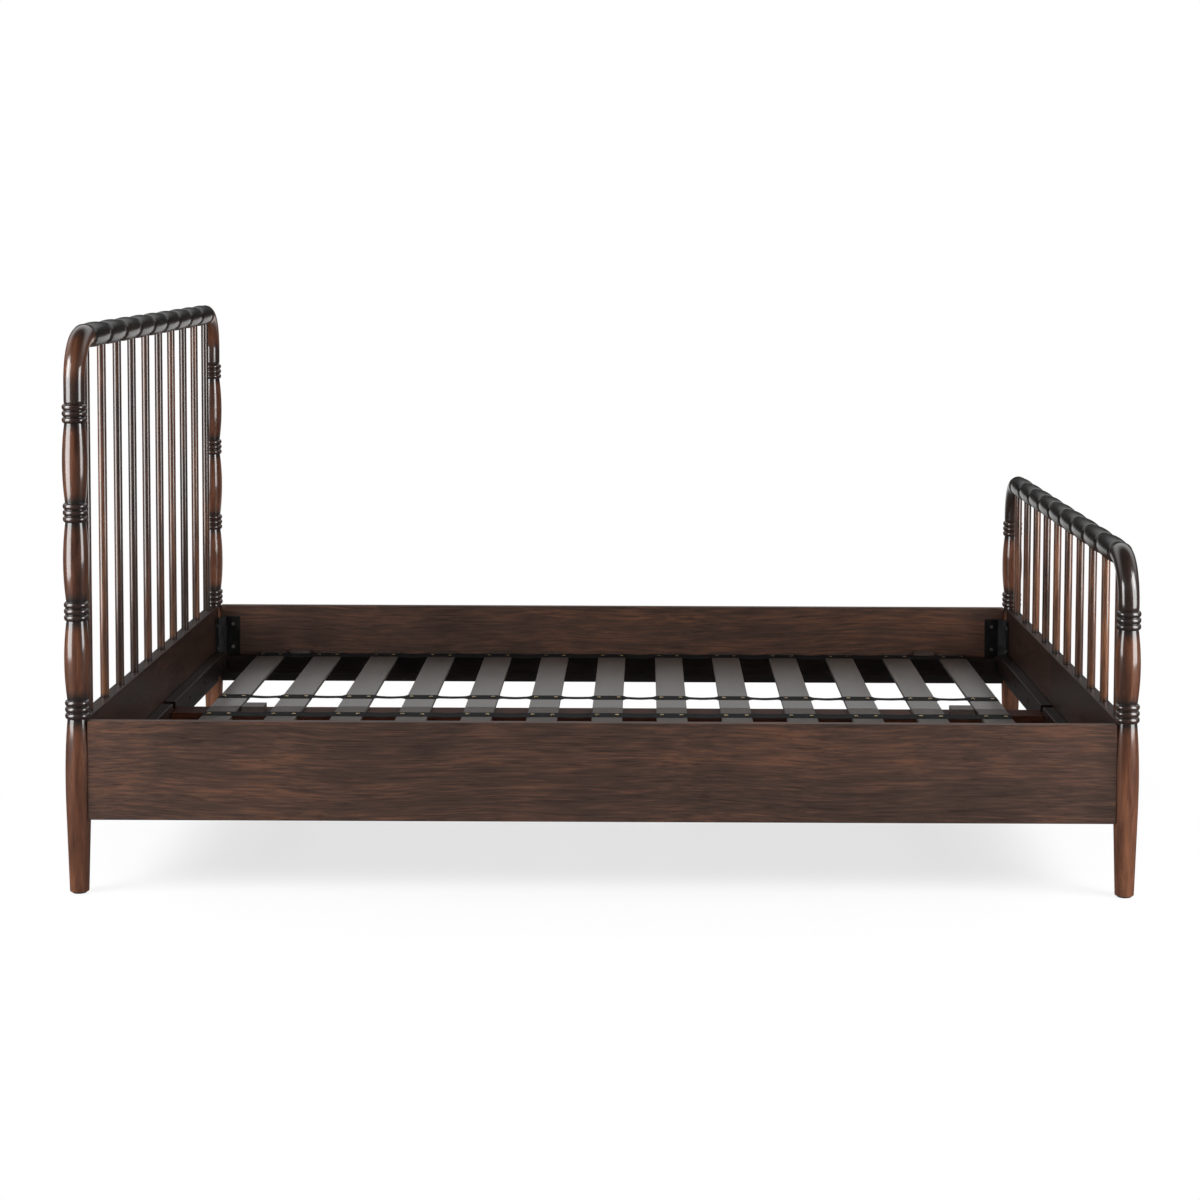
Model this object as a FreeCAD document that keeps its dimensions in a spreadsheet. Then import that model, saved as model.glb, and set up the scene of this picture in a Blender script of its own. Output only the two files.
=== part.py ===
import FreeCAD, Part
import math
import operator
import os
import Sketcher

# A turned spindle bed for one mattress. X runs from the head (-X) to the foot (+X),
# Y across the bed with the near side at -Y, Z up. The origin is on the floor, in the
# middle of the bed. All sizes are in millimetres.

doc = FreeCAD.newDocument("SpindleBed")

# ---- driving sizes ----

sizes = {
    # the mattress and the room around it
    "mattressWide": 1524,
    "mattressLong": 2032,
    "sideRoom": 10,
    "endRoom": 17,
    # boards between the posts
    "boardBottom": 150,
    "boardTall": 200,
    "boardRound": 2.5,
    "railThick": 22,
    "railInset": 8,
    "panelThick": 28,
    "panelInset": 16,
    "postFlat": 21.8,
    "joinGap": 0.2,
    "overrun": 1,
    # turned posts
    "beadDia": 51,
    "beadPitch": 12.8,
    "beadGrooveDia": 44,
    "neckDia": 40.5,
    "vaseDia": 50.8,
    "firstGroupLift": 22,
    "headGroupPitch": 197.5,
    "footGroupPitch": 187.5,
    "legSwellHigh": 238,
    "legSwellDia": 50.8,
    "legShoulderHigh": 160,
    "legShoulderDia": 48.2,
    "legFootDia": 38.4,
    "legFootRound": 2,
    "glideDia": 28,
    "glideThick": 3,
    # bent elbows
    "elbowStartDia": 41,
    "elbowDia": 42,
    "elbowEndDia": 47,
    "elbowRimDia": 48.8,
    "elbowRimThick": 4,
    "bendRadius": 92,
    "headElbowRise": 39.3,
    "footElbowRise": 10.3,
    # turned top rails
    "endNeck": 5.5,
    "neckRingDia": 44.4,
    "neckRingWide": 7,
    "neckGrooveDia": 39.6,
    "neckGrooveWide": 1.5,
    "barrelEndDia": 41.6,
    "barrelEndRamp": 3,
    "barrelShoulderDia": 48.6,
    "barrelShoulderLong": 15,
    "barrelDia": 51.6,
    # spindles
    "spindleDia": 18,
    "tenonDia": 9,
    "tenonLong": 12,
    "fitClearance": 0.1,
    # dowels
    "dowelDia": 12,
    "dowelDeep": 20,
    "panelDowelLow": 40,
    "panelDowelHigh": 120,
    # ledgers
    "deckHigh": 221.5,
    "ledgerThick": 28,
    "ledgerTall": 47,
    "ledgerGap": 2,
    "endLedgerTop": 237,
    "endLedgerTall": 49,
    "endLedgerRoom": 60,
    "ledgerScrewEdge": 103,
    "endScrewEdge": 112,
    # centre rail
    "centreBoardWide": 80,
    "centreBoardThick": 18,
    "centreBoardGap": 1,
    "tongueWide": 26,
    "notchNearSlack": 1,
    "notchFarSlack": 3,
    "webThick": 25,
    "webTall": 60,
    "webShort": 15,
    "legWide": 45,
    "legAt": 350,
    "legLift": 20,
    "levellerDia": 32,
    "levellerThick": 8,
    "studDia": 8,
    "studLong": 40,
    "studHoleDeep": 56,
    # slats and their webbing
    "slatWide": 70,
    "slatThick": 8,
    "firstSlatRoom": 111.8,
    "slatEndRoom": 4,
    "slatSeatGap": 0.2,
    "seamGap": 0.6,
    "strapWide": 50,
    "strapThick": 1.5,
    "outerStrapRoom": 60,
    "nearStrapAt": 93,
    "farStrapAt": 123,
    "pinSpread": 46,
    "pinDia": 3,
    "pinLong": 8,
    "pinHeadDia": 10,
    "pinHeadTall": 1.8,
    "pinHeadSlope": 50,
    "stopLong": 50,
    "stopTall": 15,
    "centreStopWide": 52,
    "stopSlatGap": 9.2,
    # corner brackets
    "bracketThick": 2.5,
    "bracketBottom": 222,
    "bracketTall": 99,
    "bracketFlange": 35,
    "bracketDiagonal": 17.5,
    "bracketScrewSpread": 60,
    # screws
    "screwDia": 5,
    "screwHeadDia": 9,
    "screwHeadTall": 2,
    "bracketScrewLong": 18,
    "ledgerScrewLong": 35,
    "screwRecessDia": 11,
    "screwRecessDeep": 5,
}

barrelCount = 9
spindleCount = barrelCount + 1
slatCount = 13
headGroups = 4
footGroups = 2
beadsPerGroup = 3
bendSteps = 6
screwPitches = 3
endScrewSteps = [step for step in range(-screwPitches, screwPitches + 1) if step]
ledgerScrewSteps = range(-screwPitches, screwPitches + 1)

sides = (("near", -1), ("far", 1))
ends = (("head", -1), ("foot", 1))
# Turn that carries a piece of the head's near corner to each corner.
cornerTurns = {("head", "near"): 0, ("foot", "near"): 90, ("foot", "far"): 180, ("head", "far"): 270}

sheet = doc.addObject("Spreadsheet::Sheet", "Sizes")
for row, (name, value) in enumerate(sizes.items(), start=1):
    sheet.set("A%d" % row, name)
    sheet.set("B%d" % row, str(value))
    sheet.setAlias("B%d" % row, name)
doc.recompute()


# ---- lengths worked out from the sheet ----

class Dim:
    # One length, held as the sheet's formula and as its present value.

    def __init__(self, text, value):
        self.text = text
        self.value = value

    def __add__(self, other):
        return joined(self, "+", other, operator.add)

    def __radd__(self, other):
        return joined(other, "+", self, operator.add)

    def __sub__(self, other):
        return joined(self, "-", other, operator.sub)

    def __rsub__(self, other):
        return joined(other, "-", self, operator.sub)

    def __mul__(self, other):
        return joined(self, "*", other, operator.mul)

    def __rmul__(self, other):
        return joined(other, "*", self, operator.mul)

    def __truediv__(self, other):
        return joined(self, "/", other, operator.truediv)


def asDim(value):
    return value if isinstance(value, Dim) else Dim("%.9g" % value, value)


def joined(left, sign, right, rule):
    left = asDim(left)
    right = asDim(right)
    return Dim("(%s %s %s)" % (left.text, sign, right.text), rule(left.value, right.value))


def size(name):
    return Dim("Sizes." + name, sizes[name])


def isZero(value):
    return not isinstance(value, Dim) and value == 0


innerX = size("mattressLong") / 2 + size("endRoom")
innerY = size("mattressWide") / 2 + size("sideRoom")
postX = innerX + size("panelInset")
postY = innerY + size("railInset")
boardTop = size("boardBottom") + size("boardTall")
groupHalf = size("beadPitch") * beadsPerGroup / 2
firstGroup = boardTop + size("firstGroupLift")
postTop = {
    "head": firstGroup + size("headGroupPitch") * (headGroups - 1) + groupHalf,
    "foot": firstGroup + size("footGroupPitch") * (footGroups - 1) + groupHalf,
}
elbowRise = {"head": size("headElbowRise"), "foot": size("footElbowRise")}
railAxis = {end: postTop[end] + elbowRise[end] + size("bendRadius") for end, _ in ends}
railHalf = postY - size("bendRadius")
firstSpindle = railHalf - size("endNeck")
spindlePitch = firstSpindle * 2 / barrelCount
spindleTop = {end: railAxis[end] - size("neckGrooveDia") / 2 for end, _ in ends}
past = size("overrun")
ledgerInner = innerY - size("ledgerThick")
endLedgerInner = innerX - size("ledgerThick")
sideLedgerHalf = endLedgerInner - size("ledgerGap")
endLedgerHalf = innerY - size("endLedgerRoom")
ledgerScrewPitch = (sideLedgerHalf - size("ledgerScrewEdge")) / screwPitches
endScrewPitch = (endLedgerHalf - size("endScrewEdge")) / screwPitches
slatLong = innerY - size("slatEndRoom") - size("seamGap") / 2
slatBottom = size("deckHigh") + size("slatSeatGap")
slatTop = slatBottom + size("slatThick")
slatRun = (innerX - size("firstSlatRoom")) * 2
slatPitch = (slatRun - size("slatWide")) / (slatCount - 1)
stopAt = slatRun / 2 - size("slatWide") - size("stopSlatGap") - size("stopLong") / 2
panelMiddle = innerX + size("panelThick") / 2
bracketMiddle = size("bracketBottom") + size("bracketTall") / 2
bracketScrewAt = size("bracketThick") + size("bracketDiagonal") + size("bracketFlange") / 2


# ---- helpers ----

nodes = []


def keep(piece, label):
    piece.Label = label
    nodes.append(piece)
    return piece


def bind(piece, prop, dim):
    if isinstance(dim, Dim):
        piece.setExpression(prop, dim.text)
    else:
        setattr(piece, prop, dim)


def place(piece, x, y, z, turn=None):
    x, y, z = asDim(x), asDim(y), asDim(z)
    base = FreeCAD.Vector(x.value, y.value, z.value)
    piece.Placement = FreeCAD.Placement(base, turn or FreeCAD.Rotation())
    for axis, dim in (("x", x), ("y", y), ("z", z)):
        piece.setExpression("Placement.Base." + axis, dim.text)
    return piece


def turnAboutZ(degrees):
    return FreeCAD.Rotation(FreeCAD.Vector(0, 0, 1), degrees)


def along(x, y, z):
    return FreeCAD.Rotation(FreeCAD.Vector(0, 0, 1), FreeCAD.Vector(x, y, z))


def newBody(name):
    body = doc.addObject("PartDesign::Body", name)
    body.AllowCompound = True
    return body


def newSketch(body, name, role="XY_Plane", lift=None):
    sketch = body.newObject("Sketcher::SketchObject", name)
    plane = [part for part in body.Origin.OriginFeatures if part.Role == role][0]
    sketch.AttachmentSupport = [(plane, "")]
    sketch.MapMode = "FlatFace"
    if lift is not None:
        sketch.setExpression("AttachmentOffset.Base.z", lift.text)
    return sketch


def pinPoint(sketch, geometry, position, x, y):
    # Ties one point of the sketch to its two coordinates.
    for kind, axis, dim in (("DistanceX", -2, x), ("DistanceY", -1, y)):
        if isZero(dim):
            sketch.addConstraint(Sketcher.Constraint("PointOnObject", geometry, position, axis))
            continue
        dim = asDim(dim)
        rule = Sketcher.Constraint(kind, -1, 1, geometry, position, dim.value)
        number = sketch.addConstraint(rule)
        sketch.setExpression("Constraints[%d]" % number, dim.text)


def drawOutline(sketch, corners):
    # Each corner is (x, y) where a line leaves it, or (x, y, radius) where an arc does.
    # Arcs swell to the right of the way the outline runs.
    flat = [(asDim(corner[0]).value, asDim(corner[1]).value) for corner in corners]
    first = sketch.GeometryCount
    starts = []
    for number, corner in enumerate(corners):
        x0, y0 = flat[number]
        x1, y1 = flat[(number + 1) % len(corners)]
        start = FreeCAD.Vector(x0, y0, 0)
        end = FreeCAD.Vector(x1, y1, 0)
        if len(corner) == 2:
            sketch.addGeometry(Part.LineSegment(start, end), False)
            starts.append((first + number, 1, 2))
            continue
        radius = corner[2]
        chord = math.hypot(x1 - x0, y1 - y0)
        sagitta = radius.value - math.sqrt(max(radius.value ** 2 - chord ** 2 / 4, 0))
        side = FreeCAD.Vector(y1 - y0, x0 - x1, 0) * (sagitta / chord)
        sketch.addGeometry(Part.Arc(start, (start + end) * 0.5 + side, end), False)
        number = sketch.addConstraint(Sketcher.Constraint("Radius", first + number, radius.value))
        sketch.setExpression("Constraints[%d]" % number, radius.text)
        starts.append((first + len(starts), 1, 2))
    for number, (geometry, startPoint, endPoint) in enumerate(starts):
        following = starts[(number + 1) % len(starts)]
        rule = Sketcher.Constraint("Coincident", geometry, endPoint, following[0], following[1])
        sketch.addConstraint(rule)
        pinPoint(sketch, geometry, startPoint, corners[number][0], corners[number][1])


def drawCircle(sketch, x, y, diameter):
    centre = FreeCAD.Vector(asDim(x).value, asDim(y).value, 0)
    number = sketch.addGeometry(Part.Circle(centre, FreeCAD.Vector(0, 0, 1), diameter.value / 2), False)
    rule = sketch.addConstraint(Sketcher.Constraint("Diameter", number, diameter.value))
    sketch.setExpression("Constraints[%d]" % rule, diameter.text)
    pinPoint(sketch, number, 3, x, y)


def rectangle(x0, y0, x1, y1):
    return [(x0, y0), (x1, y0), (x1, y1), (x0, y1)]


def risingRadius(rise, swell):
    # Radius of an arc that leaves its widest point along the axis and falls by swell over rise.
    return (rise * rise + swell * swell) / (swell * 2)


def revolve(body, name, outline, role):
    sketch = newSketch(body, name + "Profile", role)
    drawOutline(sketch, outline)
    turning = body.newObject("PartDesign::Revolution", name)
    turning.Profile = sketch
    turning.ReferenceAxis = (sketch, ["V_Axis"])
    turning.Angle = 360
    return turning


def pad(body, name, sketch, length):
    padding = body.newObject("PartDesign::Pad", name)
    padding.Profile = sketch
    bind(padding, "Length", length)
    return padding


def repeat(body, name, originals, direction, pitch, count):
    pattern = body.newObject("PartDesign::LinearPattern", name)
    pattern.Originals = originals
    pattern.Direction = direction
    pattern.Mode = "Spacing"
    bind(pattern, "Offset", pitch)
    pattern.Occurrences = count
    body.Tip = pattern
    return pattern


def reach(centre, sign, start, long):
    # Lower end of a stretch that begins at start from the centre and runs the sign's way.
    return centre + start if sign > 0 else centre - start - long


def box(name, long, wide, tall, x, y, z):
    block = doc.addObject("Part::Box", name)
    bind(block, "Length", long)
    bind(block, "Width", wide)
    bind(block, "Height", tall)
    return place(block, x, y, z)


def rod(name, diameter, long, x, y, z, turn=None):
    cylinder = doc.addObject("Part::Cylinder", name)
    bind(cylinder, "Radius", diameter / 2)
    bind(cylinder, "Height", long)
    return place(cylinder, x, y, z, turn)


def board(name, long, wide, tall, x, y, z):
    # A plank with its four long edges eased.
    body = newBody(name)
    sketch = newSketch(body, name + "Plan")
    drawOutline(sketch, rectangle(0, 0, long, wide))
    plank = pad(body, name + "Plank", sketch, tall)
    doc.recompute()
    longway = 0 if long.value > wide.value else 1
    edges = []
    for number, edge in enumerate(plank.Shape.Edges, start=1):
        span = edge.Vertexes[-1].Point - edge.Vertexes[0].Point
        if abs(span[longway]) > 1:
            edges.append("Edge%d" % number)
    easing = body.newObject("PartDesign::Fillet", name + "Easing")
    easing.Base = (plank, edges)
    bind(easing, "Radius", size("boardRound"))
    return place(body, x, y, z)


def cut(base, tools, name):
    result = doc.addObject("Part::Cut", name)
    result.Base = base
    if len(tools) == 1:
        result.Tool = tools[0]
    else:
        result.Tool = doc.addObject("Part::MultiFuse", name + "Holes")
        result.Tool.Shapes = tools
    return result


def group(label, pieces):
    bundle = doc.addObject("Part::Compound", label)
    bundle.Links = pieces
    return keep(bundle, label)


# ---- turned posts ----

def postOutline(groups, groupPitch):
    foot = size("legFootDia") / 2
    shoulder = size("legShoulderDia") / 2
    swell = size("legSwellDia") / 2
    neck = size("neckDia") / 2
    groove = size("beadGrooveDia") / 2
    half = size("beadPitch") / 2
    beadRadius = risingRadius(half, size("beadDia") / 2 - groove)
    vaseRadius = risingRadius(groupPitch / 2 - groupHalf, size("vaseDia") / 2 - neck)
    shoulderRise = size("legSwellHigh") - size("legShoulderHigh")
    neckRise = firstGroup - groupHalf - size("legSwellHigh")
    outline = [
        (0, size("glideThick")),
        (foot - size("legFootRound"), size("glideThick"), size("legFootRound")),
        (foot, size("glideThick") + size("legFootRound")),
        (shoulder, size("legShoulderHigh"), risingRadius(shoulderRise, swell - shoulder)),
        (swell, size("legSwellHigh"), risingRadius(neckRise, swell - neck)),
    ]
    for number in range(groups):
        bottom = firstGroup + groupPitch * number - groupHalf
        outline.append((neck, bottom))
        for bead in range(beadsPerGroup):
            outline.append((groove, bottom + size("beadPitch") * bead, beadRadius))
        outline.append((groove, bottom + groupHalf * 2))
        if number < groups - 1:
            outline.append((neck, bottom + groupHalf * 2, vaseRadius))
    return outline + [(0, bottom + groupHalf * 2)]


def post(end, side, groups, groupPitch):
    name = "%s_post_%s" % (end, side)
    outX, outY = dict(ends)[end], dict(sides)[side]
    x, y = postX * outX, postY * outY
    turning = newBody(name + "_turning")
    revolve(turning, name + "_turned", postOutline(groups, groupPitch), "XZ_Plane")
    place(turning, x, y, 0)
    flat, wide, deep = size("postFlat"), size("beadDia"), size("dowelDeep")
    hole = size("dowelDia") + size("fitClearance")
    tall, low = size("boardTall"), size("boardBottom")
    tools = [
        box(name + "_rail_seat", wide, wide, tall, reach(x, -outX, flat, wide), y - wide / 2, low),
        box(name + "_panel_seat", wide, wide, tall, x - wide / 2, reach(y, -outY, flat, wide), low),
        rod(name + "_top_hole", hole, deep + past, x, y, postTop[end] - deep),
    ]
    for height in (size("panelDowelLow"), size("panelDowelHigh")):
        tools.append(rod(name + "_panel_hole", hole, deep + past, panelMiddle * outX,
                         y - (flat - deep) * outY, low + height, along(0, -outY, 0)))
    keep(cut(turning, tools, name), name)


for end, groups, groupPitch in (("head", headGroups, size("headGroupPitch")),
                                ("foot", footGroups, size("footGroupPitch"))):
    for side, _ in sides:
        post(end, side, groups, groupPitch)

glides = []
for end, outX in ends:
    for side, outY in sides:
        name = "glide_%s_%s" % (end, side)
        glides.append(rod(name, size("glideDia"), size("glideThick"), postX * outX, postY * outY, 0))
group("foot_glides", glides)


# ---- elbows from the posts to the top rails ----

def elbow(end, side):
    name = "%s_elbow_%s" % (end, side)
    rise, bend = elbowRise[end], size("bendRadius")
    stations = [(0, 0, size("elbowStartDia")), (0, rise / 2, size("elbowDia")), (0, rise, size("elbowDia"))]
    for step in range(1, bendSteps + 1):
        share = step / bendSteps
        swing = math.pi / 2 * share
        across = bend * (1 - math.cos(swing))
        up = rise + bend * math.sin(swing)
        swell = (size("elbowEndDia") - size("elbowDia")) * share
        stations.append((across, up, size("elbowDia") + swell))
    rings = []
    for number, (across, up, diameter) in enumerate(stations):
        ring = doc.addObject("Part::Circle", "%s_ring_%d" % (name, number))
        bind(ring, "Radius", diameter / 2)
        lean = max(number - 2, 0) * 90 / bendSteps
        place(ring, 0, across, up, FreeCAD.Rotation(FreeCAD.Vector(1, 0, 0), -lean))
        rings.append(ring)
    tube = doc.addObject("Part::Loft", name + "_tube")
    tube.Sections = rings
    tube.Solid = True
    tube.Ruled = False
    rim = rod(name + "_rim", size("elbowRimDia"), size("elbowRimThick"), 0,
              bend - size("elbowRimThick"), rise + bend, along(0, 1, 0))
    blank = doc.addObject("Part::Fuse", name + "_blank")
    blank.Base = tube
    blank.Tool = rim
    deep = size("dowelDeep")
    hole = size("dowelDia") + size("fitClearance")
    socket = size("spindleDia") + size("fitClearance") * 2
    seat = rise + bend - size("neckGrooveDia") / 2
    tools = [
        rod(name + "_post_hole", hole, deep + past, 0, 0, past * -1),
        rod(name + "_rail_hole", hole, deep + past, 0, bend + past, rise + bend, along(0, -1, 0)),
        rod(name + "_spindle_cope", socket, size("spindleDia"), 0, bend + size("endNeck"),
            seat - size("spindleDia")),
    ]
    bent = cut(blank, tools, name)
    turn = turnAboutZ(0 if side == "near" else 180)
    place(bent, postX * dict(ends)[end], postY * dict(sides)[side], postTop[end], turn)
    keep(bent, name)


for end, _ in ends:
    for side, _ in sides:
        elbow(end, side)


# ---- top rails: barrels between neck rings ----

def topRail(end):
    name = end + "_top_rail"
    ring = size("neckRingDia") / 2
    groove = size("neckGrooveDia") / 2
    ringHalf = size("neckRingWide") / 2
    barrelEnd = size("barrelEndDia") / 2
    shoulder = size("barrelShoulderDia") / 2
    ringRadius = risingRadius(ringHalf, ring - groove)
    shoulderRadius = risingRadius(size("barrelShoulderLong"), shoulder - barrelEnd)
    grooveAt = ringHalf + size("neckGrooveWide")
    rampAt = grooveAt + size("barrelEndRamp")
    shoulderAt = rampAt + size("barrelShoulderLong")
    bellyHalf = spindlePitch / 2 - shoulderAt
    bellyRadius = risingRadius(bellyHalf, size("barrelDia") / 2 - shoulder)
    start = size("endNeck")
    span = railHalf * 2
    body = newBody(name + "_turning")
    revolve(body, name + "_first_neck", [
        (0, 0),
        (groove, 0),
        (groove, start - ringHalf, ringRadius),
        (ring, start),
        (0, start),
    ], "XY_Plane")
    barrel = revolve(body, name + "_barrel", [
        (0, start),
        (ring, start, ringRadius),
        (groove, start + ringHalf),
        (groove, start + grooveAt),
        (barrelEnd, start + rampAt, shoulderRadius),
        (shoulder, start + shoulderAt, bellyRadius),
        (shoulder, start + spindlePitch - shoulderAt, shoulderRadius),
        (barrelEnd, start + spindlePitch - rampAt),
        (groove, start + spindlePitch - grooveAt),
        (groove, start + spindlePitch - ringHalf, ringRadius),
        (ring, start + spindlePitch),
        (0, start + spindlePitch),
    ], "XY_Plane")
    repeat(body, name + "_barrels", [barrel], (barrel.Profile[0], ["V_Axis"]), spindlePitch, barrelCount)
    revolve(body, name + "_last_neck", [
        (0, span - start),
        (ring, span - start, ringRadius),
        (groove, span - start + ringHalf),
        (groove, span),
        (0, span),
    ], "XY_Plane")
    x = postX * dict(ends)[end]
    place(body, x, railHalf * -1, railAxis[end])
    hole = size("dowelDia") + size("fitClearance")
    deep = size("dowelDeep")
    tools = []
    for _, outY in sides:
        tools.append(rod(name + "_end_hole", hole, deep + past, x, (railHalf + past) * outY, railAxis[end],
                         along(0, -outY, 0)))
    for number in range(spindleCount):
        y = spindlePitch * number - firstSpindle
        top = spindleTop[end]
        tools.append(rod(name + "_tenon_hole", size("tenonDia") + size("fitClearance"),
                         size("tenonLong") + size("fitClearance") + past, x, y, top - past))
        tools.append(rod(name + "_seat", size("spindleDia") + size("fitClearance") * 2,
                         size("spindleDia"), x, y, top - size("spindleDia")))
    keep(cut(body, tools, name), name)


for end, _ in ends:
    topRail(end)


# ---- spindles ----

def spindle(end, number):
    name = "%s_spindle_%02d" % (end, number + 1)
    tenon = size("tenonDia") / 2
    body = newBody(name)
    length = spindleTop[end] - size("fitClearance") - boardTop
    shank = size("tenonLong") + length
    revolve(body, name + "_turned", [
        (0, 0),
        (tenon, 0),
        (tenon, size("tenonLong")),
        (size("spindleDia") / 2, size("tenonLong")),
        (size("spindleDia") / 2, shank),
        (tenon, shank),
        (tenon, shank + size("tenonLong")),
        (0, shank + size("tenonLong")),
    ], "XZ_Plane")
    y = spindlePitch * number - firstSpindle
    place(body, postX * dict(ends)[end], y, boardTop - size("tenonLong"))
    keep(body, name)


for end, _ in ends:
    for number in range(spindleCount):
        spindle(end, number)


# ---- screws ----

def screw(name, long, x, y, z, way):
    # A flat-headed screw whose head stands on (x, y, z) and whose shank runs the given way.
    back = [-part for part in way]
    shank = rod(name + "_shank", size("screwDia"), long, x, y, z, along(*way))
    head = rod(name + "_head", size("screwHeadDia"), size("screwHeadTall"), x, y, z, along(*back))
    whole = doc.addObject("Part::Fuse", name)
    whole.Base = shank
    whole.Tool = head
    return whole


def pilot(name, long, x, y, z, way):
    return rod(name, size("screwDia") + size("fitClearance") * 2, long, x, y, z, along(*way))


ledgerScrewRoot = ledgerInner + size("screwRecessDeep")
ledgerScrewHigh = size("deckHigh") - size("ledgerTall") / 2
endScrewRoot = endLedgerInner + size("screwRecessDeep")
endScrewHigh = size("endLedgerTop") - size("endLedgerTall") / 2
bracketScrewHighs = [bracketMiddle + size("bracketScrewSpread") / 2 * way for way in (-1, 1)]


# ---- side rails and their ledgers ----

ledgerScrews = []
bracketScrews = []

for side, outY in sides:
    name = "side_rail_" + side
    railHalfLong = postX - size("postFlat") - size("joinGap")
    plank = board(name + "_plank", railHalfLong * 2, size("railThick"), size("boardTall"),
                  railHalfLong * -1, reach(0, outY, innerY, size("railThick")), size("boardBottom"))
    tools = []
    for step in ledgerScrewSteps:
        x = ledgerScrewPitch * step
        tools.append(pilot(name + "_pilot", size("ledgerScrewLong"), x, ledgerScrewRoot * outY,
                           ledgerScrewHigh, (0, outY, 0)))
        ledgerScrews.append(screw("%s_screw_%d" % (name, step + screwPitches + 1), size("ledgerScrewLong"),
                                  x, ledgerScrewRoot * outY, ledgerScrewHigh, (0, outY, 0)))
    for end, outX in ends:
        x = (innerX - bracketScrewAt) * outX
        for number, high in enumerate(bracketScrewHighs):
            root = (innerY - size("bracketThick")) * outY
            tools.append(pilot(name + "_bracket_pilot", size("bracketScrewLong"), x, root, high,
                               (0, outY, 0)))
            bracketScrews.append(screw("%s_%s_bracket_screw_%d" % (name, end, number + 1),
                                       size("bracketScrewLong"), x, root, high, (0, outY, 0)))
    keep(cut(plank, tools, name), name)

for side, outY in sides:
    name = "side_ledger_" + side
    plank = board(name + "_plank", sideLedgerHalf * 2, size("ledgerThick"), size("ledgerTall"),
                  sideLedgerHalf * -1, reach(0, outY, ledgerInner, size("ledgerThick")),
                  size("deckHigh") - size("ledgerTall"))
    tools = []
    for step in ledgerScrewSteps:
        x = ledgerScrewPitch * step
        tools.append(pilot(name + "_pilot", size("ledgerThick"), x, ledgerScrewRoot * outY,
                           ledgerScrewHigh, (0, outY, 0)))
        tools.append(rod(name + "_recess", size("screwRecessDia"), size("screwRecessDeep") + past, x,
                         (ledgerInner - past) * outY, ledgerScrewHigh, along(0, outY, 0)))
    keep(cut(plank, tools, name), name)


# ---- panels and the end ledgers ----

for end, outX in ends:
    name = end + "_panel"
    panelHalf = postY - size("postFlat") - size("joinGap")
    plank = board(name + "_plank", size("panelThick"), panelHalf * 2, size("boardTall"),
                  reach(0, outX, innerX, size("panelThick")), panelHalf * -1, size("boardBottom"))
    tools = []
    for number in range(spindleCount):
        y = spindlePitch * number - firstSpindle
        deep = size("tenonLong") + size("fitClearance")
        tools.append(rod(name + "_tenon_hole", size("tenonDia") + size("fitClearance"), deep + past,
                         postX * outX, y, boardTop - deep))
    for step in endScrewSteps:
        y = endScrewPitch * step
        tools.append(pilot(name + "_pilot", size("ledgerScrewLong"), endScrewRoot * outX, y,
                           endScrewHigh, (outX, 0, 0)))
        ledgerScrews.append(screw("%s_screw_%d" % (name, step + screwPitches + 1), size("ledgerScrewLong"),
                                  endScrewRoot * outX, y, endScrewHigh, (outX, 0, 0)))
    for side, outY in sides:
        y = (innerY - bracketScrewAt) * outY
        for number, high in enumerate(bracketScrewHighs):
            root = (innerX - size("bracketThick")) * outX
            tools.append(pilot(name + "_bracket_pilot", size("bracketScrewLong"), root, y, high,
                               (outX, 0, 0)))
            bracketScrews.append(screw("%s_%s_bracket_screw_%d" % (name, side, number + 1),
                                       size("bracketScrewLong"), root, y, high, (outX, 0, 0)))
        for height in (size("panelDowelLow"), size("panelDowelHigh")):
            tools.append(rod(name + "_dowel_hole", size("dowelDia") + size("fitClearance"),
                             size("dowelDeep") + past, panelMiddle * outX, (panelHalf + past) * outY,
                             size("boardBottom") + height, along(0, -outY, 0)))
    keep(cut(plank, tools, name), name)

notchLong = size("tongueWide") + size("notchNearSlack") + size("notchFarSlack")
notchFloor = size("deckHigh") - size("centreBoardThick")

for end, outX in ends:
    name = end + "_ledger"
    plank = board(name + "_plank", size("ledgerThick"), endLedgerHalf * 2, size("endLedgerTall"),
                  reach(0, outX, endLedgerInner, size("ledgerThick")), endLedgerHalf * -1,
                  size("endLedgerTop") - size("endLedgerTall"))
    tools = [box(name + "_notch", size("ledgerThick") + past * 2, notchLong, size("endLedgerTall"),
                 reach(0, outX, endLedgerInner - past, size("ledgerThick") + past * 2),
                 size("tongueWide") / -2 - size("notchNearSlack"), notchFloor)]
    for step in endScrewSteps:
        y = endScrewPitch * step
        tools.append(pilot(name + "_pilot", size("ledgerThick"), endScrewRoot * outX, y,
                           endScrewHigh, (outX, 0, 0)))
        tools.append(rod(name + "_recess", size("screwRecessDia"), size("screwRecessDeep") + past,
                         (endLedgerInner - past) * outX, y, endScrewHigh, along(outX, 0, 0)))
    keep(cut(plank, tools, name), name)

group("ledger_screws", ledgerScrews)


# ---- corner brackets ----

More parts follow.
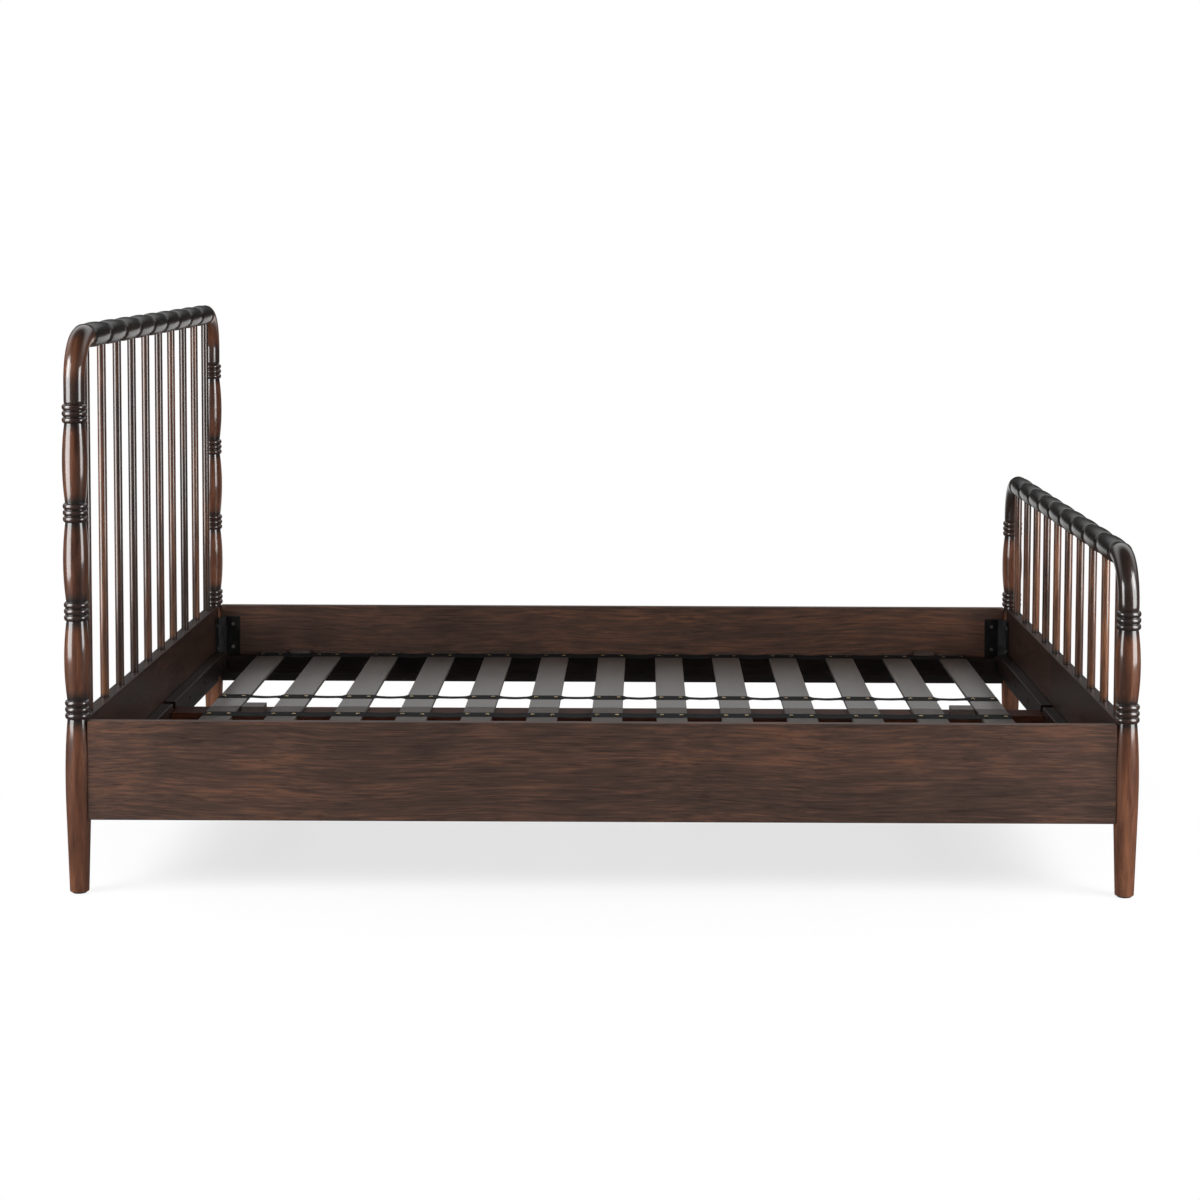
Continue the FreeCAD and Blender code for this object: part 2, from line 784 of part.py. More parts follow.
def bracket(end, side):
    # An angle plate across the corner: one flange on the rail, one on the panel.
    name = "bracket_%s_%s" % (end, side)
    thick = size("bracketThick")
    inner = thick + size("bracketDiagonal")
    outer = thick + size("bracketDiagonal") - thick * math.tan(math.pi / 8)
    reachOut = inner + size("bracketFlange")
    body = newBody(name + "_plate")
    sketch = newSketch(body, name + "_profile")
    drawOutline(sketch, [
        (reachOut, 0),
        (reachOut, thick),
        (inner, thick),
        (thick, inner),
        (thick, reachOut),
        (0, reachOut),
        (0, outer),
        (outer, 0),
    ])
    pad(body, name + "_bend", sketch, size("bracketTall"))
    tools = []
    for number, high in enumerate(bracketScrewHighs):
        lift = high - size("bracketBottom")
        tools.append(pilot(name + "_rail_hole", thick * 3, bracketScrewAt, thick * -1, lift, (0, 1, 0)))
        tools.append(pilot(name + "_panel_hole", thick * 3, thick * -1, bracketScrewAt, lift, (1, 0, 0)))
    plate = cut(body, tools, name)
    return place(plate, innerX * dict(ends)[end], innerY * dict(sides)[side], size("bracketBottom"),
                 turnAboutZ(cornerTurns[(end, side)]))


group("corner_brackets", [bracket(end, side) for end, _ in ends for side, _ in sides])
group("bracket_screws", bracketScrews)


# ---- dowels in the posts, elbows and rails ----

dowels = []
dowelLong = size("dowelDeep") * 2 - size("fitClearance") * 2
for end, outX in ends:
    for side, outY in sides:
        name = "dowel_%s_%s" % (end, side)
        dowels.append(rod(name + "_elbow", size("dowelDia"), dowelLong, postX * outX, postY * outY,
                          postTop[end] - dowelLong / 2))
        dowels.append(rod(name + "_rail", size("dowelDia"), dowelLong, postX * outX,
                          (railHalf - dowelLong / 2) * outY, railAxis[end], along(0, outY, 0)))
        joint = postY - size("postFlat") - size("joinGap") / 2
        for number, height in enumerate((size("panelDowelLow"), size("panelDowelHigh"))):
            dowels.append(rod("%s_panel_%d" % (name, number + 1), size("dowelDia"), dowelLong,
                              panelMiddle * outX, (joint - dowelLong / 2) * outY,
                              size("boardBottom") + height, along(0, outY, 0)))
group("frame_dowels", dowels)


# ---- centre rail, its legs and levellers ----

centreHalf = innerX - size("centreBoardGap")
plank = board("centre_rail_plank", centreHalf * 2, size("centreBoardWide"), size("centreBoardThick"),
              centreHalf * -1, size("centreBoardWide") / -2, notchFloor)
# The plank stops at the end ledgers, and only a tongue goes on into each notch.
shoulderDeep = size("centreBoardWide") / 2 - size("tongueWide") / 2
shoulders = []
for end, outX in ends:
    for side, outY in sides:
        shoulders.append(box("centre_rail_shoulder_%s_%s" % (end, side), size("ledgerThick") + past,
                             shoulderDeep + past, size("centreBoardThick") + past * 2,
                             reach(0, outX, endLedgerInner - size("centreBoardGap"), size("ledgerThick") + past),
                             reach(0, outY, size("tongueWide") / 2, shoulderDeep + past),
                             notchFloor - past))
keep(cut(plank, shoulders, "centre_rail"), "centre_rail")
webHalf = endLedgerInner - size("webShort")
webBottom = notchFloor - size("webTall")
keep(board("centre_rail_web", webHalf * 2, size("webThick"), size("webTall"),
           webHalf * -1, size("webThick") / -2, webBottom), "centre_rail_web")

for end, outX in ends:
    name = "centre_leg_" + end
    wide = size("legWide")
    block = box(name + "_block", wide, wide, webBottom - size("legLift"),
                size("legAt") * outX - wide / 2, wide / -2, size("legLift"))
    bore = rod(name + "_bore", size("studDia") + size("fitClearance") * 2, size("studHoleDeep"),
               size("legAt") * outX, 0, size("legLift") - past)
    keep(cut(block, [bore], name), name)

for end, outX in ends:
    name = "leveller_" + end
    stud = size("studDia") / 2
    disc = size("levellerDia") / 2
    body = newBody(name)
    revolve(body, name + "_turned", [
        (0, 0),
        (disc, 0),
        (disc, size("levellerThick")),
        (stud, size("levellerThick")),
        (stud, size("levellerThick") + size("studLong")),
        (0, size("levellerThick") + size("studLong")),
    ], "XZ_Plane")
    keep(place(body, size("legAt") * outX, 0, 0), name)


# ---- slat decks: slats, webbing straps and the pins that hold them ----

def pinSpots(strapAts):
    # Four pin places on a slat, in the deck's own frame: two on each strap.
    spots = []
    for strapAt in strapAts:
        for offset in (-1, 1):
            spots.append((size("slatWide") / 2 + size("pinSpread") / 2 * offset, strapAt))
    return spots


def deck(side, strapAts):
    # The deck's own frame starts at its outer corner and is turned about Z for the far side.
    outY = dict(sides)[side]
    turn = turnAboutZ(0 if side == "near" else 180)
    startX = slatRun / 2 * outY
    startY = (innerY - size("slatEndRoom")) * outY
    hole = size("pinDia") + size("fitClearance") * 2
    strapTop = slatTop + size("strapThick")

    slats = newBody(side + "_slats")
    plan = newSketch(slats, side + "_slat_plan")
    drawOutline(plan, rectangle(0, 0, size("slatWide"), slatLong))
    for x, y in pinSpots(strapAts):
        drawCircle(plan, x, y, hole)
    slat = pad(slats, side + "_slat", plan, size("slatThick"))
    repeat(slats, side + "_slat_row", [slat], (plan, ["H_Axis"]), slatPitch, slatCount)
    keep(place(slats, startX, startY, slatBottom, turn), side + "_slats")

    for part, strapAt in zip(("outer", "inner"), strapAts):
        name = "%s_%s_strap" % (side, part)
        strap = newBody(name)
        plan = newSketch(strap, name + "_plan")
        half = size("strapWide") / 2
        drawOutline(plan, rectangle(0, strapAt - half, slatRun, strapAt + half))
        pad(strap, name + "_web", plan, size("strapThick"))
        holes = newSketch(strap, name + "_holes")
        for x, y in pinSpots([strapAt]):
            drawCircle(holes, x, y, hole)
        piercing = strap.newObject("PartDesign::Pocket", name + "_piercing")
        piercing.Profile = holes
        piercing.Type = "ThroughAll"
        piercing.Midplane = True
        repeat(strap, name + "_pierced_row", [piercing], (holes, ["H_Axis"]), slatPitch, slatCount)
        keep(place(strap, startX, startY, slatTop, turn), name)

    pins = newBody(side + "_pins")
    shanks = newSketch(pins, side + "_pin_shanks")
    heads = newSketch(pins, side + "_pin_heads", lift=size("pinLong"))
    for x, y in pinSpots(strapAts):
        drawCircle(shanks, x, y, size("pinDia"))
        drawCircle(heads, x, y, size("pinHeadDia"))
    shank = pad(pins, side + "_pin_shank", shanks, size("pinLong"))
    head = pad(pins, side + "_pin_head", heads, size("pinHeadTall"))
    bind(head, "TaperAngle", size("pinHeadSlope") * -1)
    repeat(pins, side + "_pin_rows", [shank, head], (shanks, ["H_Axis"]), slatPitch, slatCount)
    keep(place(pins, startX, startY, strapTop - size("pinLong"), turn), side + "_pins")


deckEdge = innerY - size("slatEndRoom")
outerStrapAt = size("outerStrapRoom") - size("slatEndRoom")
deck("near", [outerStrapAt, deckEdge - size("nearStrapAt")])
deck("far", [outerStrapAt, deckEdge - size("farStrapAt")])

stops = []
for end, outX in ends:
    x = stopAt * outX - size("stopLong") / 2
    for side, outY in sides:
        stops.append(box("stop_%s_%s" % (end, side), size("stopLong"), size("ledgerThick"), size("stopTall"),
                         x, reach(0, outY, ledgerInner, size("ledgerThick")), size("deckHigh")))
    stops.append(box("stop_%s_centre" % end, size("stopLong"), size("centreStopWide"), size("stopTall"),
                     x, size("centreBoardWide") / -2, size("deckHigh")))
group("stop_blocks", stops)


# ---- checks and files ----

doc.recompute()
for item in doc.Objects:
    if "Invalid" in item.State or "Error" in item.State:
        raise RuntimeError("not built: %s %s" % (item.Name, item.State))

os.makedirs("parts", exist_ok=True)
for node in nodes:
    shape = node.Shape
    if shape.isNull() or not shape.isValid() or not shape.Solids:
        raise RuntimeError("bad shape: " + node.Label)
    shape.exportStep("parts/%s.step" % node.Label)
    print("%-22s %3d solids %12.0f mm3" % (node.Label, len(shape.Solids), shape.Volume))
print(len(nodes), "nodes")
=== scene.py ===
import math
import random

import bmesh
import bpy
from mathutils import Matrix, Vector


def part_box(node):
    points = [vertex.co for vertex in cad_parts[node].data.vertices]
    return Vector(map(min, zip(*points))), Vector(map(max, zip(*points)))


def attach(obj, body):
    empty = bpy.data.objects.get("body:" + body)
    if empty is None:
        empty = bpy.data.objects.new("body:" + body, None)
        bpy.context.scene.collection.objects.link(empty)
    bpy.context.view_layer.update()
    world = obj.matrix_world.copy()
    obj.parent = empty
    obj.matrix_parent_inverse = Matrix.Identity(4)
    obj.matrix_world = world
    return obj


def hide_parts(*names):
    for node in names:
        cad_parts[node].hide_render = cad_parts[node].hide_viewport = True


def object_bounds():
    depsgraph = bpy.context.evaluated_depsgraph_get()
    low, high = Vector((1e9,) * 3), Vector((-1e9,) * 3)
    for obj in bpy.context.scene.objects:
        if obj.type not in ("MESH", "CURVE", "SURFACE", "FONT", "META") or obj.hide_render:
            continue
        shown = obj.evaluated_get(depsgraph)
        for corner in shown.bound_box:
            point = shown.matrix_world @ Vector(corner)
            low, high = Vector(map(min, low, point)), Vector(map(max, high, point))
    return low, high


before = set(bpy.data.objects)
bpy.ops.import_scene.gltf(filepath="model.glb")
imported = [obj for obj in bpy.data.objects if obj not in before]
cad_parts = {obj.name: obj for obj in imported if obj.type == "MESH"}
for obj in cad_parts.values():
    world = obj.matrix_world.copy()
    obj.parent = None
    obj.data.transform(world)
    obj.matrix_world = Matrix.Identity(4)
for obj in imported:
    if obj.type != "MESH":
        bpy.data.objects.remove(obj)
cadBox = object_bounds()
scene = bpy.context.scene
ends = ("head", "foot")
sides = ("near", "far")
handOf = {"head": -1, "foot": 1, "near": -1, "far": 1}    # the ends lie along X, the sides along Y
white = (1, 1, 1, 1)


# A material's sockets, so that shading can be written as sums and products.

class Tap:
    def __init__(self, shade, socket):
        self.shade = shade
        self.socket = socket

    def join(self, operation, first, second):
        return self.shade.add("ShaderNodeMath", {"operation": operation}, [first, second])

    def __add__(self, other):
        return self.join("ADD", self, other)

    def __radd__(self, other):
        return self.join("ADD", other, self)

    def __sub__(self, other):
        return self.join("SUBTRACT", self, other)

    def __rsub__(self, other):
        return self.join("SUBTRACT", other, self)

    def __mul__(self, other):
        return self.join("MULTIPLY", self, other)

    def __rmul__(self, other):
        return self.join("MULTIPLY", other, self)

    def __abs__(self):
        return self.shade.add("ShaderNodeMath", {"operation": "ABSOLUTE"}, [self])


class Shade:
    def __init__(self, name, library=bpy.data.materials):
        self.owner = library.new(name)
        self.owner.use_nodes = True
        self.tree = self.owner.node_tree
        self.tree.nodes.clear()

    def add(self, kind, settings=None, sockets=None, output=0):
        node = self.tree.nodes.new(kind)
        for key, value in (settings or {}).items():
            if key == "stops":
                self.setStops(node.color_ramp, value)
            else:
                setattr(node, key, value)
        pairs = sockets.items() if isinstance(sockets, dict) else enumerate(sockets or [])
        for key, value in pairs:
            if isinstance(value, Tap):
                self.tree.links.new(value.socket, node.inputs[key])
            else:
                node.inputs[key].default_value = value
        return Tap(self, node.outputs[output]) if len(node.outputs) else None

    def setStops(self, ramp, stops):
        while len(ramp.elements) < len(stops):
            ramp.elements.new(0.5)
        for element, (position, colour) in zip(ramp.elements, stops):
            element.position = position
            element.color = (*colour, 1)

    def objectPlace(self):
        return self.add("ShaderNodeTexCoord", {}, {}, "Object")

    def attribute(self, name, output):
        return self.add("ShaderNodeAttribute", {"attribute_name": name}, {}, output)

    def part(self, place, axis):
        return self.add("ShaderNodeSeparateXYZ", {}, {0: place}, axis)

    def rayIs(self, kind):
        return self.add("ShaderNodeLightPath", {}, {}, "Is %s Ray" % kind)

    def ramp(self, factor, stops):
        return self.add("ShaderNodeValToRGB", {"stops": stops}, {"Fac": factor})

    def noise(self, place, scale, detail=2.0, roughness=0.5, distortion=0.0, output=0):
        sockets = {"Vector": place, "Scale": scale, "Detail": detail, "Roughness": roughness,
                   "Distortion": distortion}
        return self.add("ShaderNodeTexNoise", {}, sockets, output)

    def stretch(self, place, scale, shift=(0, 0, 0)):
        return self.add("ShaderNodeMapping", {}, {"Vector": place, "Scale": scale, "Location": shift})

    def clamp(self, value, low, high, lowTo=0.0, highTo=1.0):
        sockets = {"Value": value, "From Min": low, "From Max": high, "To Min": lowTo, "To Max": highTo}
        return self.add("ShaderNodeMapRange", {"clamp": True}, sockets)

    def tint(self, blend, factor, first, second):
        sockets = {0: factor, 6: first, 7: second}
        return self.add("ShaderNodeMix", {"data_type": "RGBA", "blend_type": blend}, sockets, 2)

    def bump(self, height, strength, distance):
        sockets = {"Height": height, "Strength": strength, "Distance": distance}
        return self.add("ShaderNodeBump", {}, sockets)

    def blend(self, factor, first, second):
        return self.add("ShaderNodeMixShader", {}, {0: factor, 1: first, 2: second})

    def finish(self, **sockets):
        named = {key.replace("_", " "): value for key, value in sockets.items()}
        body = self.add("ShaderNodeBsdfPrincipled", {}, named)
        self.add("ShaderNodeOutputMaterial", {}, {"Surface": body})
        return self.owner


# Wood: stain under lacquer. The grain runs along one axis, or along the piece's own "grain" attribute.

walnutLook = {
    "dark": (0.026, 0.0100, 0.0060),
    "middle": (0.094, 0.033, 0.0155),
    "light": (0.190, 0.074, 0.034),
    "pore": (0.42, 0.36, 0.34),
    "toner": (0.0085, 0.0076, 0.0072),
    "figureScale": 13.0,
    "streakScale": 110.0,
    "poreScale": 620.0,
    "mottleScale": 5.0,
    "lengthwise": 0.07,             # the smaller, the longer the grain is drawn out
    "driftScale": 9.0,
    "drift": 0.006,                 # how far the grain swings to each side, in metres
    "mix": (0.46, 0.36, 0.18),      # shares of the figure, the streaks and the mottle
    "spread": 0.14,                 # the smaller, the stronger the contrast
    "poreEdges": (0.56, 0.70),
    "poreShare": 0.8,
    "tonerEdges": (0.12, 0.9),
    "tonerShare": 0.92,
    "tonerMottle": 0.9,
    "roughness": (0.34, 0.46),
    "specular": 0.20,
    "coatWeight": 0.85,
    "coatRoughness": 0.11,
    "coatIor": 1.7,
    "bump": 0.22,
    "bumpDeep": 0.0004,
}

spindleWoodLook = dict(
    walnutLook, dark=(0.014, 0.0065, 0.0042), middle=(0.080, 0.0300, 0.0145), light=(0.250, 0.096, 0.040),
    spread=0.12)

railTurningLook = dict(
    walnutLook, dark=(0.010, 0.0075, 0.0062), middle=(0.026, 0.0165, 0.0125), light=(0.060, 0.034, 0.023),
    specular=0.04, coatWeight=0.7, coatRoughness=0.17, coatIor=1.5)

boardLook = dict(
    walnutLook, dark=(0.0240, 0.0158, 0.0130), middle=(0.058, 0.0328, 0.0245), light=(0.152, 0.064, 0.034),
    figureScale=13.0, streakScale=250.0, lengthwise=0.042, driftScale=1.5, drift=0.030,
    mix=(0.26, 0.52, 0.22), spread=0.19, roughness=(0.30, 0.42), specular=0.28, coatWeight=0.12,
    coatRoughness=0.20, coatIor=1.5)

panelLook = dict(
    boardLook, dark=(0.0070, 0.0050, 0.0042), middle=(0.020, 0.0110, 0.0085), light=(0.048, 0.021, 0.0135),
    specular=0.16, coatWeight=0.08)

ledgerLook = dict(
    boardLook, dark=(0.0040, 0.0030, 0.0026), middle=(0.0110, 0.0068, 0.0055), light=(0.026, 0.0130, 0.0090),
    specular=0.18, coatWeight=0.02)

centreLook = dict(
    boardLook, dark=(0.014, 0.0050, 0.0030), middle=(0.040, 0.0125, 0.0070), light=(0.090, 0.027, 0.0125),
    specular=0.05, coatWeight=0.0)

# The slats' colours are lifted above the dark wood's own, as painted sheen.
slatWoodAndSheenLook = dict(
    boardLook, dark=(0.040, 0.0350, 0.0315), middle=(0.062, 0.0555, 0.0505), light=(0.092, 0.083, 0.076),
    pore=(0.7, 0.68, 0.66), figureScale=16.0, drift=0.012, roughness=(0.34, 0.42), specular=0.5,
    coatWeight=0.4, coatRoughness=0.26, bump=0.04)

stopBlockLook = dict(slatWoodAndSheenLook, middle=(0.040, 0.026, 0.020))

# Painted shade: the rails' inner faces are darkened below the slats: from where inward, below what height, and
# how much.
railBoardLook = dict(boardLook, shadow={
    "inner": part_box("side_rail_far")[0].y + 0.0005, "edge": 0.002,
    "high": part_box("side_ledger_far")[1].z, "fade": 0.02, "share": 0.9})


def woodFinish(name, look, grainAxis=None, shift=0.0):
    shade = Shade(name)
    if grainAxis is None:
        place = shade.attribute("grain", "Vector")
        grainAxis = 2
    else:
        place = shade.objectPlace()
    long = [1.0, 1.0, 1.0]
    long[grainAxis] = look["lengthwise"]
    longer = [1.0, 1.0, 1.0]
    longer[grainAxis] = look["lengthwise"] * 0.5
    sway = [look["drift"] * 2] * 3
    sway[grainAxis] = 0.0
    cloud = shade.noise(place, look["driftScale"], detail=1.0, output="Color")
    swung = shade.add("ShaderNodeVectorMath", {"operation": "MULTIPLY_ADD"}, {0: cloud, 1: sway, 2: place})
    wide = shade.stretch(swung, long, (shift, shift * 0.7, shift * 0.3))
    thin = shade.stretch(swung, longer, (shift, shift, shift))
    figure = shade.noise(wide, look["figureScale"], detail=4.0, roughness=0.55, distortion=0.9)
    streak = shade.noise(wide, look["streakScale"], detail=3.0, roughness=0.6, distortion=0.2)
    pores = shade.noise(thin, look["poreScale"], detail=2.0, roughness=0.6)
    mottle = shade.noise(place, look["mottleScale"], detail=2.0)
    figureShare, streakShare, mottleShare = look["mix"]
    tone = figure * figureShare + streak * streakShare + mottle * mottleShare
    colour = shade.ramp(tone, [(0.5 - look["spread"], look["dark"]), (0.5, look["middle"]),
                               (0.5 + look["spread"], look["light"])])
    poreMask = shade.clamp(pores, *look["poreEdges"])
    colour = shade.tint("MULTIPLY", poreMask * look["poreShare"], colour, (*look["pore"], 1))
    # This attribute holds toner, with painted shade in the posts' grooves and on the top rails' upper halves.
    stain = shade.attribute("stain", "Fac")
    tonedAndShaded = shade.clamp(stain + (mottle - 0.5) * look["tonerMottle"], *look["tonerEdges"]) * look["tonerShare"]
    # Painted shade darkens the rails' inner faces below the slats.
    if "shadow" in look:
        shadow = look["shadow"]
        reach = abs(shade.part(place, "Y"))
        outward = shade.clamp(reach, shadow["inner"], shadow["inner"] + shadow["edge"])
        below = shade.clamp(shade.part(place, "Z"), shadow["high"] - shadow["fade"], shadow["high"],
                            shadow["share"], 0.0)
        tonedAndShaded = 1 - (1 - tonedAndShaded) * (1 - (1 - outward) * below)
    colour = shade.tint("MIX", tonedAndShaded, colour, (*look["toner"], 1))
    gloss = shade.clamp(streak * 0.6 + mottle * 0.4, 0.35, 0.65, *look["roughness"])
    height = streak * 0.25 - poreMask
    return shade.finish(Base_Color=colour, Roughness=gloss,
                        Normal=shade.bump(height, look["bump"], look["bumpDeep"]),
                        Coat_Weight=look["coatWeight"], Coat_Roughness=look["coatRoughness"],
                        Coat_IOR=look["coatIor"], Specular_IOR_Level=look["specular"])


# Metal and plastic: a fine speckle in a slow cloud.

hardLook = {"speckleScale": 900.0, "cloudScale": 45.0, "bump": 0.15, "bumpDeep": 0.0002}

hardLooks = {
    "brass": {"low": (0.42, 0.30, 0.13), "high": (0.78, 0.63, 0.36), "metallic": 1.0,
              "roughness": (0.22, 0.42)},
    "blackSteel": {"low": (0.0022, 0.0022, 0.0022), "high": (0.0060, 0.0058, 0.0056), "metallic": 0.0,
                   "roughness": (0.30, 0.44)},
    "zinc": {"low": (0.34, 0.34, 0.32), "high": (0.58, 0.57, 0.54), "metallic": 1.0,
             "roughness": (0.30, 0.48)},
    "nylon": {"low": (0.016, 0.016, 0.016), "high": (0.034, 0.033, 0.032), "metallic": 0.0,
              "roughness": (0.48, 0.66)},
}


def hardFinish(name, look):
    shade = Shade(name)
    place = shade.objectPlace()
    speckle = shade.noise(place, hardLook["speckleScale"], detail=2.0, roughness=0.6)
    cloud = shade.noise(place, hardLook["cloudScale"], detail=3.0)
    colour = shade.ramp(speckle * 0.5 + cloud * 0.5, [(0.35, look["low"]), (0.65, look["high"])])
    gloss = shade.clamp(cloud, 0.35, 0.65, *look["roughness"])
    return shade.finish(Base_Color=colour, Metallic=look["metallic"], Roughness=gloss,
                        Normal=shade.bump(speckle, hardLook["bump"], hardLook["bumpDeep"]))


# Woven webbing: ribs across, threads along, and a little fuzz.

webbingLook = {
    "low": (0.004, 0.004, 0.0043), "high": (0.017, 0.017, 0.018), "ribPitch": 0.0022, "threadPitch": 0.0013,
    "wavePitch": 0.314,             # the wave texture's own pitch at a scale of 1
    "fuzzScale": 300.0, "roughness": (0.62, 0.82), "specular": 0.12, "bump": 0.5, "bumpDeep": 0.0006,
}


def webbingFinish(name, look):
    shade = Shade(name)
    place = shade.objectPlace()

    def waves(axis, pitch, distortion):
        sockets = {"Vector": place, "Scale": look["wavePitch"] / pitch, "Distortion": distortion,
                   "Detail": 1.0}
        return shade.add("ShaderNodeTexWave", {"wave_type": "BANDS", "bands_direction": axis}, sockets, "Fac")

    weave = waves("X", look["ribPitch"], 0.4) * waves("Y", look["threadPitch"], 0.3)
    fuzz = shade.noise(place, look["fuzzScale"], detail=3.0)
    colour = shade.ramp(weave * 0.6 + fuzz * 0.4, [(0.2, look["low"]), (0.75, look["high"])])
    return shade.finish(Base_Color=colour, Roughness=shade.clamp(fuzz, 0.3, 0.7, *look["roughness"]),
                        Specular_IOR_Level=look["specular"],
                        Normal=shade.bump(weave, look["bump"], look["bumpDeep"]))


# Each wood: its look, the axis of its grain, and a shift that gives each its own figure.

woods = {
    "walnutUp": (walnutLook, 2, 0.0),
    "walnutAcross": (railTurningLook, 1, 3.1),
    "walnutBent": (walnutLook, None, 5.2),
    "spindleWood": (spindleWoodLook, 2, 2.3),
    "railBoard": (railBoardLook, 0, 1.7),
    "panelBoard": (panelLook, 1, 7.4),
    "centreBoard": (centreLook, 0, 9.6),
    "ledgerLong": (ledgerLook, 0, 2.9),
    "ledgerAcross": (ledgerLook, 1, 4.3),
    "ledgerUp": (ledgerLook, 2, 6.1),
    "slat": (slatWoodAndSheenLook, 1, 8.8),
    "slatEdge": (stopBlockLook, 0, 4.9),
}
finishes = {name: woodFinish(name, look, axis, shift) for name, (look, axis, shift) in woods.items()}
finishes.update({name: hardFinish(name, look) for name, look in hardLooks.items()})
finishes["webbing"] = webbingFinish("webbing", webbingLook)
print("finishes ready")


# Pieces: every mesh is built in place, and its object stays at the origin.

def meshOf(name, bm):
    mesh = bpy.data.meshes.new(name)
    bm.to_mesh(mesh)
    bm.free()
    return mesh


def objectOf(name, data):
    made = bpy.data.objects.new(name, data)
    scene.collection.objects.link(made)
    return made


def makePiece(name, bm, finish, body, replaced):
    bmesh.ops.recalc_face_normals(bm, faces=bm.faces)
    for face in bm.faces:
        face.smooth = True
    mesh = meshOf(name, bm)
    mesh.materials.append(finishes[finish])
    piece = objectOf(name, mesh)
    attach(piece, body)
    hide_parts(replaced)
    return piece


def arcTo(points, radius, end, count):
    # Adds the arc of the given radius from the last point to end, swelling away from the axis.
    start = Vector(points[-1])
    finish = Vector(end)
    chord = finish - start
    half = chord.length / 2
    radius = max(radius, half)
    right = Vector((chord.y, -chord.x)).normalized()
    centre = (start + finish) / 2 - right * math.sqrt(radius ** 2 - half ** 2)
    first = start - centre
    sweep = first.angle_signed(finish - centre)
    for step in range(1, count):
        angle = -sweep * step / count
        turned = Vector((first.x * math.cos(angle) - first.y * math.sin(angle),
                         first.x * math.sin(angle) + first.y * math.cos(angle)))
        points.append(tuple(centre + turned))
    points.append(tuple(finish))


def fallRadius(rise, swell):
    # Radius of an arc that leaves its widest point along the axis and falls by swell over rise.
    return (rise * rise + swell * swell) / (swell * 2)


def spinProfile(points, steps):
    bm = bmesh.new()
    verts = [bm.verts.new((radius, 0, height)) for radius, height in points]
    edges = [bm.edges.new(pair) for pair in zip(verts, verts[1:])]
    bmesh.ops.spin(bm, geom=verts + edges, cent=(0, 0, 0), axis=(0, 0, 1), angle=math.tau, steps=steps,
                   use_merge=True)
    bmesh.ops.remove_doubles(bm, verts=bm.verts, dist=0.00002)
    return bm


def setDown(bm, place, turn=None):
    if turn is not None:
        bmesh.ops.rotate(bm, verts=bm.verts, cent=(0, 0, 0), matrix=turn)
    bmesh.ops.translate(bm, verts=bm.verts, vec=place)
    return bm


def sharpenBy(piece, degrees):
    piece.data.set_sharp_from_angle(angle=math.radians(degrees))


def stainAndShadeBy(piece, rule):
    # The dark toner lies thicker round the joints; painted shade is added in the posts' grooves and on the top
    # rails' upper halves. Rule gives the share at a point.
    layer = piece.data.attributes.new("stain", "FLOAT", "POINT")
    layer.data.foreach_set("value", [rule(vert.co) for vert in piece.data.vertices])


def ease(value, low, high):
    share = min(max((value - low) / (high - low), 0), 1)
    return share * share * (3 - 2 * share)


# Turned posts.

postLook = {
    "foot": 0.0192, "footRound": 0.002, "glide": 0.014,
    "shoulder": 0.0241, "shoulderHigh": 0.160, "swell": 0.0254, "swellHigh": 0.238,
    "beads": 3, "bead": 0.0255, "beadPitch": 0.0128, "beadGap": 0.0003, "groove": 0.0216,
    "neck": 0.02025, "vase": 0.0254,
    "firstGroup": 0.372, "groups": {"head": 4, "foot": 2}, "groupPitch": {"head": 0.1975, "foot": 0.1875},
    "flat": 0.0212, "seatLow": 0.150, "seatHigh": 0.350, "steps": 56, "sharp": 38,
}

# The toner's share on a post: at its top and round the groups of beads; painted shade in the grooves between
# beads.
postTonerAndShade = {
    "top": 0.62, "topFrom": 0.075, "topTo": 0.010,
    "group": 0.78, "groupFrom": 0.020, "groupTo": 0.050,
    "groove": 1.3, "grooveReach": 1.6, "grooveFrom": 0.0004, "grooveTo": 0.0026,
}


def postProfile(end):
    look = postLook
    half = look["beadPitch"] / 2
    groupHalf = half * look["beads"]
    pitch = look["groupPitch"][end]
    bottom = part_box("foot_glides")[1].z
    points = [(0, bottom), (look["foot"] - look["footRound"], bottom)]
    arcTo(points, look["footRound"], (look["foot"], bottom + look["footRound"]), count=4)
    points.append((look["shoulder"], look["shoulderHigh"]))
    rise = look["swellHigh"] - look["shoulderHigh"]
    legRadius = fallRadius(rise, look["swell"] - look["shoulder"])
    arcTo(points, legRadius, (look["swell"], look["swellHigh"]), count=8)
    neckHigh = look["firstGroup"] - groupHalf
    rise = neckHigh - look["swellHigh"]
    arcTo(points, fallRadius(rise, look["swell"] - look["neck"]), (look["neck"], neckHigh), count=12)
    beadRadius = fallRadius(half, look["bead"] - look["groove"])
    vaseRadius = fallRadius(pitch / 2 - groupHalf, look["vase"] - look["neck"])
    for group in range(look["groups"][end]):
        low = look["firstGroup"] + pitch * group - groupHalf
        for bead in range(look["beads"]):
            start = low + look["beadPitch"] * bead
            points.append((look["groove"], start + look["beadGap"]))
            arcTo(points, beadRadius, (look["groove"], start + look["beadPitch"] - look["beadGap"]), count=10)
        points.append((look["neck"], low + groupHalf * 2))
        if group < look["groups"][end] - 1:
            arcTo(points, vaseRadius, (look["neck"], low + pitch), count=18)
    points.append((0, points[-1][1]))
    return points


